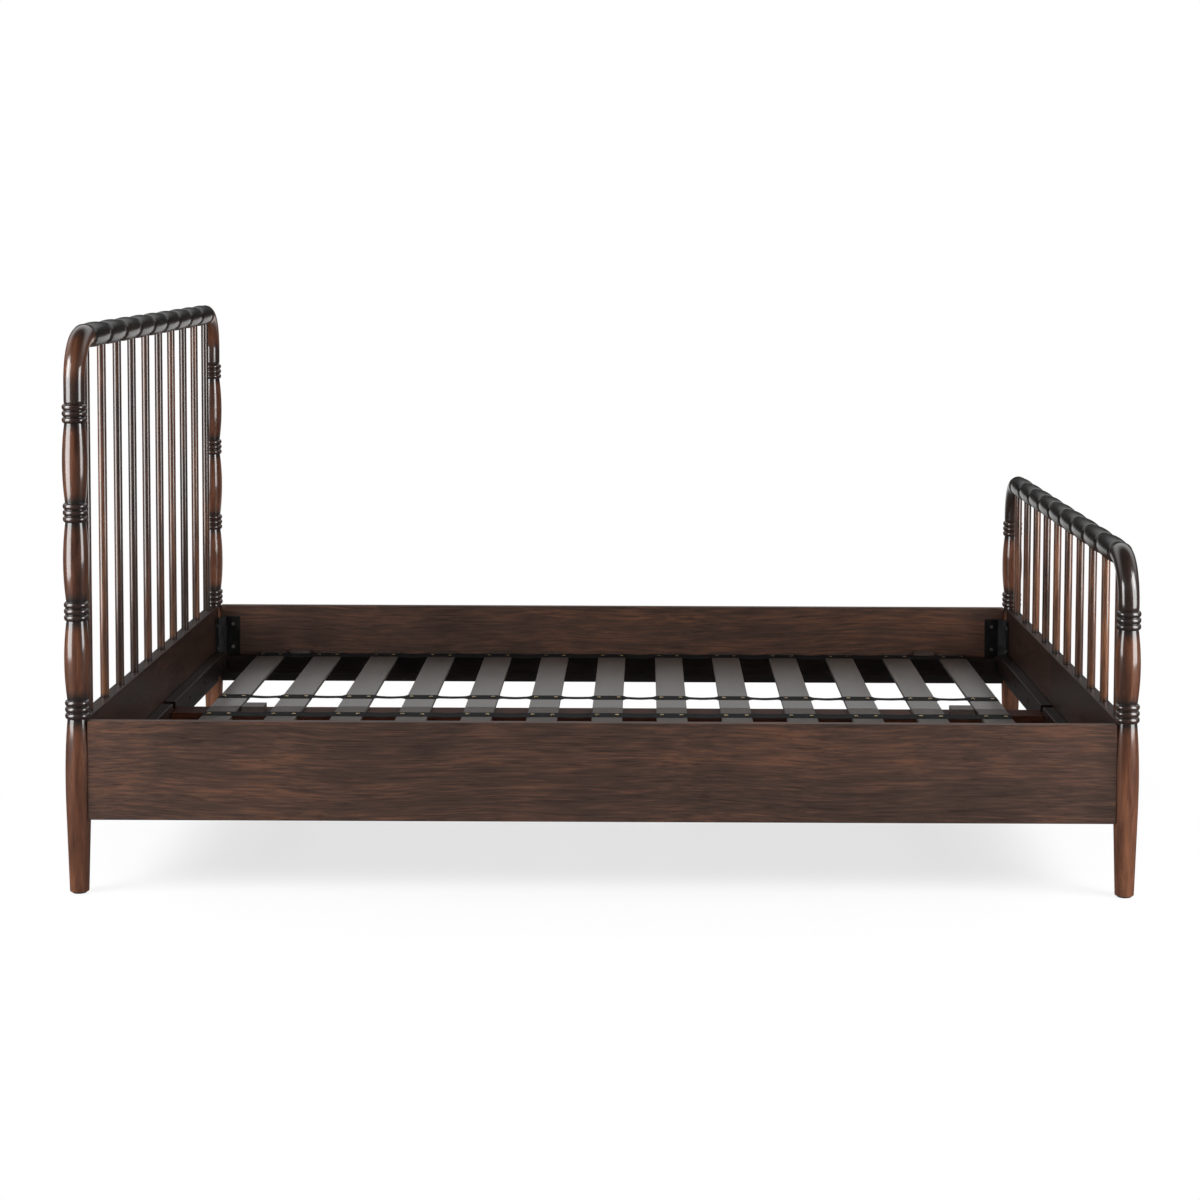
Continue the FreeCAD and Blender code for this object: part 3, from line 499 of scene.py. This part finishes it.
def cutFlats(piece, end, side, centre):
    # The rail and the panel bear on two flats of the post.
    look = postLook
    long = look["bead"] * 2
    tall = look["seatHigh"] - look["seatLow"]
    mid = (look["seatHigh"] + look["seatLow"]) / 2
    for way in (Vector((-handOf[end], 0, 0)), Vector((0, -handOf[side], 0))):
        bm = bmesh.new()
        bmesh.ops.create_cube(bm, size=1.0)
        bmesh.ops.scale(bm, vec=(long, long, tall), verts=bm.verts)
        setDown(bm, Vector((centre.x, centre.y, mid)) + way * (look["flat"] + long / 2))
        cutter = objectOf("cutter", meshOf("cutter", bm))
        carve = piece.modifiers.new("carve", "BOOLEAN")
        carve.operation = "DIFFERENCE"
        carve.object = cutter
        bpy.context.view_layer.update()
        cut = piece.evaluated_get(bpy.context.evaluated_depsgraph_get())
        carved = bpy.data.meshes.new_from_object(cut)
        piece.modifiers.clear()
        carved.name = piece.name
        piece.data = carved
        bpy.data.objects.remove(cutter)


def postCentre(end, side):
    # The glide stands right under the post's axis.
    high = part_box("foot_glides")[1]
    radius = postLook["glide"]
    return Vector((handOf[end] * (high.x - radius), handOf[side] * (high.y - radius), 0))


def postStainAndShade(end, height, top, radius):
    look, toner = postLook, postTonerAndShade
    share = ease(height, top - toner["topFrom"], top - toner["topTo"]) * toner["top"]
    for group in range(look["groups"][end]):
        away = abs(height - look["firstGroup"] - look["groupPitch"][end] * group)
        share = max(share, toner["group"] * (1 - ease(away, toner["groupFrom"], toner["groupTo"])))
        if away < look["beadPitch"] * toner["grooveReach"]:
            low, high = look["groove"] + toner["grooveFrom"], look["groove"] + toner["grooveTo"]
            share = max(share, toner["groove"] * (1 - ease(radius, low, high)))
    return share


for end in ends:
    for side in sides:
        name = "%s_post_%s" % (end, side)
        centre = postCentre(end, side)
        bm = setDown(spinProfile(postProfile(end), postLook["steps"]), centre)
        post = makePiece("turned_" + name, bm, "walnutUp", "frame", name)
        cutFlats(post, end, side, centre)
        sharpenBy(post, postLook["sharp"])
        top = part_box(name)[1].z
        stainAndShadeBy(post, lambda spot: postStainAndShade(end, spot.z, top,
                                             math.hypot(spot.x - centre.x, spot.y - centre.y)))
print("posts ready")


# Bent elbows: a round bar that flares a little to a collar at the top rail.

elbowLook = {
    "start": 0.0204, "bar": 0.0210, "flare": 0.0234, "flareCurve": 1.4, "bend": 0.092, "bendSteps": 26,
    "sides": 48, "sharp": 50,
    "blend": 0.006, "lip": 0.0015, "lipOut": 0.0002, "easing": 0.0008,
    "collar": 0.0244, "collarLong": 0.0036, "collarStep": 0.0001, "collarLip": 0.0005,
    "collarEdge": 0.0007, "collarIn": 0.003,
}

# The toner's share on an elbow: everywhere at least, at its foot, and at its collar.
elbowToner = {
    "least": {"head": 0.32, "foot": 0.90},
    "foot": 0.88, "footFrom": -0.01, "footTo": 0.05,
    "collar": 0.80, "collarFrom": 0.07, "collarTo": 0.105,
}


def openEdges(bm, axis, level):
    # The open edges that lie at this level along an axis.
    return [edge for edge in bm.edges if edge.is_boundary
            and all(abs(vert.co[axis] - level) < 0.0001 for vert in edge.verts)]


def addRings(bm, grain, loop, way, rings):
    # Draws an open loop out through rings, each (travel from the loop, radius).
    travelled = 0
    for travel, radius in rings:
        made = bmesh.ops.extrude_edge_only(bm, edges=loop)["geom"]
        verts = [part for part in made if isinstance(part, bmesh.types.BMVert)]
        loop = [part for part in made if isinstance(part, bmesh.types.BMEdge)]
        core = sum((vert.co for vert in verts), Vector()) / len(verts)
        for vert in verts:
            offset = vert.co - core
            vert.co = core + offset.normalized() * radius + way * (travel - travelled)
            vert[grain] = vert[grain] + Vector((0, 0, travel - travelled))
        travelled = travel


def elbowBar(rise):
    look = elbowLook
    quarter = math.pi / 2
    bm = bmesh.new()
    bmesh.ops.create_circle(bm, cap_ends=False, segments=look["sides"], radius=look["bar"],
                            matrix=Matrix.Translation((0, 0, rise)))
    grain = bm.verts.layers.float_vector.new("grain")
    pivot = Vector((0, look["bend"], rise))
    bmesh.ops.spin(bm, geom=bm.verts[:] + bm.edges[:], cent=pivot, axis=(-1, 0, 0), angle=quarter,
                   steps=look["bendSteps"], use_merge=False)
    for vert in bm.verts:
        turn = math.atan2(vert.co.z - rise, look["bend"] - vert.co.y)
        outward = Vector((0, -math.cos(turn), math.sin(turn)))
        core = pivot + outward * look["bend"]
        share = max(turn, 0) / quarter
        offset = vert.co - core
        vert.co = core + offset * (1 + (look["flare"] / look["bar"] - 1) * share ** look["flareCurve"])
        vert[grain] = (offset.x, offset.dot(outward), rise + look["bend"] * turn)
    lowRings = [(rise - look["blend"], look["bar"]), (rise - look["lip"], look["start"] + look["lipOut"]),
                (rise, look["start"] - look["easing"])]
    addRings(bm, grain, openEdges(bm, 2, rise), Vector((0, 0, -1)), lowRings)
    long, collar = look["collarLong"], look["collar"]
    collarRings = [(-long, look["flare"] + look["collarStep"]), (-long, collar - look["collarLip"]),
                   (-long * 0.8, collar), (-look["collarEdge"], collar), (0, collar - look["easing"]),
                   (0, collar - look["collarIn"])]
    addRings(bm, grain, openEdges(bm, 1, look["bend"]), Vector((0, 1, 0)), collarRings)
    bmesh.ops.holes_fill(bm, edges=[edge for edge in bm.edges if edge.is_boundary])
    return bm


def elbowStain(end, height):
    toner = elbowToner
    foot = toner["foot"] * (1 - ease(height, toner["footFrom"], toner["footTo"]))
    collar = toner["collar"] * ease(height, toner["collarFrom"], toner["collarTo"])
    return max(foot, toner["least"][end], collar)


def axisHeight(node):
    low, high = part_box(node)
    return ((low + high) / 2).z


railAxisHigh = {end: axisHeight(end + "_top_rail") for end in ends}
for end in ends:
    for side in sides:
        name = "%s_elbow_%s" % (end, side)
        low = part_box(name)[0].z
        centre = postCentre(end, side)
        rise = railAxisHigh[end] - elbowLook["bend"] - low
        turn = Matrix.Rotation(math.pi if side == "far" else 0, 3, "Z")
        bm = setDown(elbowBar(rise), Vector((centre.x, centre.y, low)), turn)
        elbow = makePiece("bent_" + name, bm, "walnutBent", "frame", name)
        sharpenBy(elbow, elbowLook["sharp"])
        stainAndShadeBy(elbow, lambda spot: elbowStain(end, spot.z - low - rise))
print("elbows ready")


# Turned top rails: long barrels between narrow neck rings.

topRailLook = {
    "ring": 0.0222, "ringWide": 0.007, "groove": 0.0195, "grooveWide": 0.0016, "barrelEnd": 0.0206,
    "ramp": 0.0028, "shoulder": 0.0242, "shoulderLong": 0.015, "barrel": 0.02575, "endNeck": 0.0055,
    # The last three: toner all round, painted shade on the upper half, and the height over which that shade
    # fades in.
    "barrels": 9, "steps": 56, "sharp": 38, "lowToner": 0.55, "topShade": 0.35, "shadeBand": 0.012,
}


def topRailProfile(long):
    look = topRailLook
    half = look["ringWide"] / 2
    pitch = (long - look["endNeck"] * 2) / look["barrels"]
    ringRadius = fallRadius(half, look["ring"] - look["groove"])
    shoulderRadius = fallRadius(look["shoulderLong"], look["shoulder"] - look["barrelEnd"])
    shoulderAt = half + look["grooveWide"] + look["ramp"] + look["shoulderLong"]
    bellyRadius = fallRadius(pitch / 2 - shoulderAt, look["barrel"] - look["shoulder"])
    points = [(0, 0), (look["groove"], 0)]
    for number in range(look["barrels"] + 1):
        at = look["endNeck"] + pitch * number
        points.append((look["groove"], at - half))
        arcTo(points, ringRadius, (look["groove"], at + half), count=10)
        if number == look["barrels"]:
            break
        last = at + pitch
        points.append((look["groove"], at + half + look["grooveWide"]))
        points.append((look["barrelEnd"], at + half + look["grooveWide"] + look["ramp"]))
        arcTo(points, shoulderRadius, (look["shoulder"], at + shoulderAt), count=6)
        arcTo(points, bellyRadius, (look["shoulder"], last - shoulderAt), count=12)
        barrelStop = last - half - look["grooveWide"] - look["ramp"]
        arcTo(points, shoulderRadius, (look["barrelEnd"], barrelStop), count=6)
        points.append((look["groove"], last - half - look["grooveWide"]))
    points.append((look["groove"], long))
    points.append((0, long))
    return points


# Toner all round, and painted shade darkening the upper half of the rail.
def topRailStainAndShade(height):
    band = topRailLook["shadeBand"]
    return topRailLook["lowToner"] + topRailLook["topShade"] * ease(height, -band, band)


for end in ends:
    name = end + "_top_rail"
    low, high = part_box(name)
    bm = spinProfile(topRailProfile(high.y - low.y), topRailLook["steps"])
    place = Vector((postCentre(end, "near").x, low.y, railAxisHigh[end]))
    setDown(bm, place, Matrix.Rotation(-math.pi / 2, 3, "X"))
    rail = makePiece("turned_" + name, bm, "walnutAcross", "frame", name)
    sharpenBy(rail, topRailLook["sharp"])
    stainAndShadeBy(rail, lambda spot: topRailStainAndShade(spot.z - railAxisHigh[end]))
print("top rails ready")


# Spindles: plain round bars, eased at the foot, each with its own share of toner.

spindleLook = {
    "radius": 0.009, "easing": 0.0006, "steps": 32, "sharp": 50, "tenon": 0.012, "count": 10,
    "lowRings": (0.004, 0.009, 0.014), "highRings": (0.2, 0.04, 0.025, 0.01), "seed": {"head": 31, "foot": 47},
}

# How dark each spindle is: its own share of toner between least and most, and darker towards the foot and the
# top.
spindleDarkening = {
    "least": {"head": 0.45, "foot": 0.05}, "most": {"head": 0.88, "foot": 0.60},
    "foot": 0.85, "footFrom": 0.004, "footTo": 0.014,
    "top": 0.45, "topFrom": 0.04, "topTo": 0.01,
}


def spindleProfile(bottom, top):
    look = spindleLook
    radius, easing = look["radius"], look["easing"]
    points = [(0, bottom), (radius - easing, bottom)]
    arcTo(points, easing, (radius, bottom + easing), count=3)
    points += [(radius, bottom + rise) for rise in look["lowRings"]]
    points += [(radius, top - fall) for fall in look["highRings"]]
    points += [(radius, top), (0, top)]
    return points


def spindleDarkness(height, bottom, top, least):
    toner = spindleDarkening
    foot = toner["foot"] * (1 - ease(height, bottom + toner["footFrom"], bottom + toner["footTo"]))
    upper = toner["top"] * ease(height, top - toner["topFrom"], top - toner["topTo"])
    return max(foot, least, upper)


for end in ends:
    chance = random.Random(spindleLook["seed"][end])
    for number in range(spindleLook["count"]):
        name = "%s_spindle_%02d" % (end, number + 1)
        low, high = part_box(name)
        bottom = low.z + spindleLook["tenon"]
        top = high.z - spindleLook["tenon"]
        bm = spinProfile(spindleProfile(bottom, top), spindleLook["steps"])
        setDown(bm, Vector(((low.x + high.x) / 2, (low.y + high.y) / 2, 0)))
        spindle = makePiece("round_" + name, bm, "spindleWood", "frame", name)
        sharpenBy(spindle, spindleLook["sharp"])
        least = chance.uniform(spindleDarkening["least"][end], spindleDarkening["most"][end])
        stainAndShadeBy(spindle, lambda spot: spindleDarkness(spot.z, bottom, top, least))
print("spindles ready")


# The slat decks: slats with eased edges, each lying a little its own way.

slatLook = {
    "wide": 0.070, "count": 13, "easing": 0.0014, "yaw": 0.0016, "lift": 0.0005, "endRoom": 0.0008,
    "sharp": 40, "seed": {"near": 11, "far": 23},
}


def slatPitch(low, high):
    return (high.x - low.x - slatLook["wide"]) / (slatLook["count"] - 1)


def slatDeck(side):
    look = slatLook
    name = side + "_slats"
    low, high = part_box(name)
    pitch = slatPitch(low, high)
    chance = random.Random(look["seed"][side])
    bm = bmesh.new()
    for number in range(look["count"]):
        made = bmesh.ops.create_cube(bm, size=1.0)["verts"]
        size = (look["wide"], high.y - low.y - look["endRoom"], high.z - low.z)
        bmesh.ops.scale(bm, vec=size, verts=made)
        turn = Matrix.Rotation(chance.uniform(-1, 1) * look["yaw"], 3, "Z")
        bmesh.ops.rotate(bm, verts=made, cent=(0, 0, 0), matrix=turn)
        spot = Vector((low.x + look["wide"] / 2 + pitch * number, (low.y + high.y) / 2,
                       (low.z + high.z) / 2 + chance.uniform(0, 1) * look["lift"]))
        bmesh.ops.translate(bm, verts=made, vec=spot)
    bmesh.ops.bevel(bm, geom=bm.edges[:], offset=look["easing"], segments=3, profile=0.5, affect="EDGES",
                    material=-1)
    deck = makePiece("dark_" + name, bm, "slat", side + "_slat_deck", name)
    sharpenBy(deck, look["sharp"])


for side in sides:
    slatDeck(side)
print("slats ready")


# Webbing: flat over each slat, a little slack between them. One strap leans over between its slats.

strapLook = {
    "thick": 0.0014, "rise": 0.0006, "cells": 312, "acrossCells": 6, "sharp": 50,
    "sag": 0.0016, "stray": 0.0010, "slack": (0.35, 1.0), "slackMiddle": 0.6,
    "lean": {"far_inner_strap": 0.10}, "leanOver": 0.10,
}


def strapPiece(node, side):
    look = strapLook
    low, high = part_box(node)
    slatLow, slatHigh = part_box(side + "_slats")
    wide, count = slatLook["wide"], slatLook["count"]
    pitch = slatPitch(slatLow, slatHigh)
    middle = (low.y + high.y) / 2
    lean = look["lean"].get(node, 0.0)
    chance = random.Random(len(node))
    slack = [chance.uniform(*look["slack"]) for _ in range(count)]
    bm = bmesh.new()
    bmesh.ops.create_grid(bm, x_segments=look["cells"], y_segments=look["acrossCells"], size=0.5)
    bmesh.ops.scale(bm, vec=(high.x - low.x, high.y - low.y, 1), verts=bm.verts)
    setDown(bm, ((low.x + high.x) / 2, middle, slatHigh.z + look["rise"]))
    for vert in bm.verts:
        travel = vert.co.x - slatLow.x
        number = min(int(travel / pitch), count - 1)
        inGap = (travel - pitch * number - wide) / (pitch - wide)
        if 0 < inGap < 1:
            hang = math.sin(math.pi * inGap) ** 2
            tilt = lean * min(inGap / look["leanOver"], (1 - inGap) / look["leanOver"], 1)
            vert.co.z -= look["sag"] * slack[number] * hang + (vert.co.y - middle) * tilt
            vert.co.y += look["stray"] * hang * (slack[number] - look["slackMiddle"])
    bmesh.ops.solidify(bm, geom=bm.faces[:], thickness=look["thick"])
    strap = makePiece("webbing_" + node, bm, "webbing", side + "_slat_deck", node)
    sharpenBy(strap, look["sharp"])


for side in sides:
    for part in ("outer", "inner"):
        strapPiece("%s_%s_strap" % (side, part), side)
print("webbing ready")


# Brass pins: low domed heads on a thin rim.

pinLook = {
    "radius": 0.005, "easing": 0.0003, "rim": 0.0005, "dome": 0.0013, "domeSteps": 4, "steps": 14,
    "spread": 0.046, "stray": (0.001, 0.002), "seed": {"near": 5, "far": 6},
}


def pinProfile():
    look = pinLook
    rim, dome = look["rim"], look["dome"]
    flat = look["radius"] - look["easing"]
    radius = fallRadius(flat, dome)
    points = [(0, 0), (flat, 0), (look["radius"], rim * 0.5), (flat, rim)]
    for step in range(1, look["domeSteps"]):
        reach = flat * (1 - step / look["domeSteps"])
        points.append((reach, rim + dome - (radius - math.sqrt(radius ** 2 - reach ** 2))))
    points.append((0, rim + dome))
    return points


def pinHeads(side):
    look = pinLook
    strayX, strayY = look["stray"]
    slatLow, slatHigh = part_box(side + "_slats")
    pitch = slatPitch(slatLow, slatHigh)
    chance = random.Random(look["seed"][side])
    bm = bmesh.new()
    for part in ("outer", "inner"):
        strapLow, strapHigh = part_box("%s_%s_strap" % (side, part))
        middle = (strapLow.y + strapHigh.y) / 2
        for number in range(slatLook["count"]):
            for hand in (-1, 1):
                x = slatLow.x + slatLook["wide"] / 2 + pitch * number + hand * look["spread"] / 2
                stray = Vector((chance.uniform(-1, 1) * strayX, chance.uniform(-1, 1) * strayY, 0))
                head = spinProfile(pinProfile(), look["steps"])
                mesh = meshOf("pinHead", setDown(head, Vector((x, middle, strapHigh.z)) + stray))
                bm.from_mesh(mesh)
                bpy.data.meshes.remove(mesh)
    makePiece("brass_%s_pins" % side, bm, "brass", side + "_slat_deck", side + "_pins")


for side in sides:
    pinHeads(side)
print("pins ready")


# Carried-over nodes take the finish of what they are.

nodeFinish = {
    "side_rail_near": "railBoard", "side_rail_far": "railBoard",
    "head_panel": "panelBoard", "foot_panel": "panelBoard",
    "side_ledger_near": "ledgerLong", "side_ledger_far": "ledgerLong",
    "head_ledger": "ledgerAcross", "foot_ledger": "ledgerAcross",
    "centre_rail": "centreBoard", "centre_rail_web": "centreBoard",
    "centre_leg_head": "ledgerUp", "centre_leg_foot": "ledgerUp",
    "stop_blocks": "slatEdge", "leveller_head": "zinc", "leveller_foot": "zinc",
    "foot_glides": "nylon", "corner_brackets": "blackSteel", "bracket_screws": "zinc",
    "ledger_screws": "zinc", "frame_dowels": "ledgerUp",
}
for node, finish in nodeFinish.items():
    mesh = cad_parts[node].data
    mesh.materials.clear()
    mesh.materials.append(finishes[finish])
print("nodes dressed")


# Floor, world, lamps and camera.

floorLook = {
    "size": 60.0, "colour": (0.86, 0.86, 0.86, 1),
    "nearGlow": 0.66, "fadeFrom": -0.25, "fadeTo": 0.35,    # the camera's floor turns white away from the bed
    "mirrorLow": 0.08, "mirrorHigh": 0.78,                  # what gloss sees of the floor
    "mirrorNear": 1.6, "mirrorFar": 4.5, "mirrorHalf": 1.2, "mirrorEdge": 2.0,
}


def makeFloor(look):
    # The camera sees the floor as white away from the bed, and with its soft shadow near it.
    shade = Shade("studioFloor")
    place = shade.objectPlace()
    reachY = shade.part(place, "Y")
    awayX = abs(shade.part(place, "X"))
    awayY = abs(reachY)
    farX = shade.clamp(awayX - cadBox[1].x, look["fadeFrom"], look["fadeTo"])
    farY = shade.clamp(awayY - cadBox[1].y, look["fadeFrom"], look["fadeTo"])
    far = farX + farY - farX * farY
    glow = look["nearGlow"] + far * (1 - look["nearGlow"])
    behind = shade.clamp(reachY, look["mirrorNear"], look["mirrorFar"])
    between = shade.clamp(awayX, look["mirrorHalf"], look["mirrorEdge"], 1.0, 0.0)
    mirror = look["mirrorLow"] + behind * between * (look["mirrorHigh"] - look["mirrorLow"])
    diffuse = shade.add("ShaderNodeBsdfDiffuse", {}, {"Color": look["colour"]})
    bright = shade.add("ShaderNodeEmission", {}, {"Color": white, "Strength": 1.0})
    dark = shade.add("ShaderNodeEmission", {}, {"Color": white, "Strength": 0.0})
    mirrored = shade.blend(mirror, dark, bright)
    seen = shade.blend(shade.rayIs("Camera") * glow, diffuse, bright)
    mixed = shade.blend(shade.rayIs("Glossy"), seen, mirrored)
    shade.add("ShaderNodeOutputMaterial", {}, {"Surface": mixed})
    bm = bmesh.new()
    bmesh.ops.create_grid(bm, x_segments=1, y_segments=1, size=look["size"] / 2)
    mesh = meshOf("studioFloor", bm)
    mesh.materials.append(shade.owner)
    objectOf("studioFloor", mesh)


# The world's pale band lies between these heights, as sines of the angle above the horizon.
worldLook = {
    "roomLight": 0.24, "dimLevel": 0.03, "bandLevel": 0.95,
    "bandFrom": 0.20, "bandFull": 0.42, "bandFade": 0.60, "bandEnd": 0.80, "frontShare": 0.15,
}


def makeWorld(look):
    # Gloss sees a broad pale band high behind the bed, fainter in front, and a dim room elsewhere.
    shade = Shade("studioWorld", bpy.data.worlds)
    way = shade.add("ShaderNodeTexCoord", {}, {}, "Generated")
    height = shade.part(way, "Z")
    rising = shade.clamp(height, look["bandFrom"], look["bandFull"])
    falling = shade.clamp(height, look["bandFade"], look["bandEnd"], 1.0, 0.0)
    around = shade.clamp(shade.part(way, "Y"), -0.1, 0.4, look["frontShare"], 1.0)
    level = look["dimLevel"] + rising * falling * around * (look["bandLevel"] - look["dimLevel"])
    glossy = shade.rayIs("Glossy")
    strength = glossy * level + (1 - glossy) * look["roomLight"]
    room = shade.add("ShaderNodeBackground", {}, {"Color": white, "Strength": strength})
    plain = shade.add("ShaderNodeBackground", {}, {"Color": white, "Strength": 1.0})
    mixed = shade.blend(shade.rayIs("Camera"), room, plain)
    shade.add("ShaderNodeOutputWorld", {}, {"Surface": mixed})
    scene.world = shade.owner


# Each lamp stands on the right, and once more mirrored on the left.
lampLooks = {
    "Softbox": {"wide": 1.7, "tall": 2.2, "place": (2.7, -1.8, 1.2), "aim": (0.6, -0.3, 0.5),
                "power": 88.0, "mirrored": True},
    "Strip": {"wide": 0.45, "tall": 1.1, "place": (2.3, -1.5, 1.7), "aim": (1.0, -0.75, 0.8),
              "power": 8.0, "mirrored": True},
    "Rear": {"wide": 2.2, "tall": 2.0, "place": (2.6, 3.0, 1.5), "aim": (0.5, 0.5, 0.45),
             "power": 110.0, "mirrored": False},
}


def makeLamp(name, look, hand):
    lamp = bpy.data.lights.new(name, "AREA")
    lamp.shape = "RECTANGLE"
    lamp.size = look["wide"]
    lamp.size_y = look["tall"]
    lamp.energy = look["power"]
    place, aim = [Vector((spot[0] * hand, spot[1], spot[2])) for spot in (look["place"], look["aim"])]
    holder = objectOf(name, lamp)
    holder.visible_glossy = look["mirrored"]
    holder.location = place
    holder.rotation_euler = (aim - place).to_track_quat("-Z", "Y").to_euler()


cameraLook = {
    "place": (0.08113, -5.67908, 1.31504), "pitch": -0.065474, "yaw": 0.002688, "roll": 0.003546,
    "lens": 74.2905, "sensor": 36, "shift": (-0.03103, -0.16603), "seesTo": 200,
}


def makeCamera(look):
    camera = bpy.data.cameras.new("viewCamera")
    camera.lens = look["lens"]
    camera.sensor_width = look["sensor"]
    camera.shift_x, camera.shift_y = look["shift"]
    camera.clip_end = look["seesTo"]
    yaw = Matrix.Rotation(look["yaw"], 4, "Z")
    pitch = Matrix.Rotation(math.pi / 2 + look["pitch"], 4, "X")
    roll = Matrix.Rotation(look["roll"], 4, "Z")
    holder = objectOf("viewCamera", camera)
    holder.matrix_world = Matrix.Translation(look["place"]) @ (yaw @ pitch @ roll)
    scene.camera = holder


makeFloor(floorLook)
makeWorld(worldLook)
for lampName, look in lampLooks.items():
    makeLamp("left" + lampName, look, -1)
    makeLamp("right" + lampName, look, 1)
makeCamera(cameraLook)
scene.view_settings.view_transform = "Standard"
print("studio ready")
